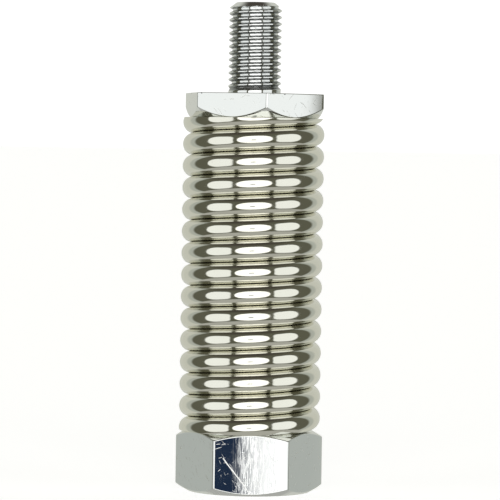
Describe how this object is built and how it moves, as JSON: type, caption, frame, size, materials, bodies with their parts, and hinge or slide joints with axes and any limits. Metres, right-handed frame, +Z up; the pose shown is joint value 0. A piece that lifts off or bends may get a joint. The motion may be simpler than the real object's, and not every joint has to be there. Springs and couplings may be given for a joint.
{
  "type": "antenna spring mount",
  "caption": "Flexible spring mount for a whip antenna: close-wound coil between a hexagonal base with a blind thread and a thin hexagon with a threaded stud.",
  "frame": {"origin": "middle of the base's flat underside", "axes": "+Z up the spring's axis towards the stud; a flat of the base hexagon faces -Y, and its corners lie on X"},
  "size_m": [0.022, 0.0218, 0.0725],
  "materials": {
    "fitting_chrome": "bright plated, finely scratched",
    "spring_wire": "polished drawn wire",
    "tinned_braid": "woven tinned copper",
    "tinned_terminal": "tinned brass",
    "zinc_fastener": "zinc plated"
  },
  "bodies": {
    "base": {"base_fitting": "fitting_chrome", "coil_spring_lower": "spring_wire", "ground_braid": "tinned_braid", "lower_ring_terminal": "tinned_terminal", "lower_lock_washer": "zinc_fastener", "lower_terminal_screw": "zinc_fastener"},
    "top": {"top_fitting": "fitting_chrome", "coil_spring_upper": "spring_wire", "upper_ring_terminal": "tinned_terminal", "upper_lock_washer": "zinc_fastener", "upper_terminal_screw": "zinc_fastener"}
  },
  "joints": [
    {"name": "spring_bend", "type": "hinge", "parent": "base", "child": "top", "pos_m": [0.0089, 0, 0.03363], "axis": [0, 0.9983, 0.0578], "range_deg": [0, 30], "stiffness_Nm_per_rad": 1.5, "deforming": ["ground_braid"]}
  ]
}
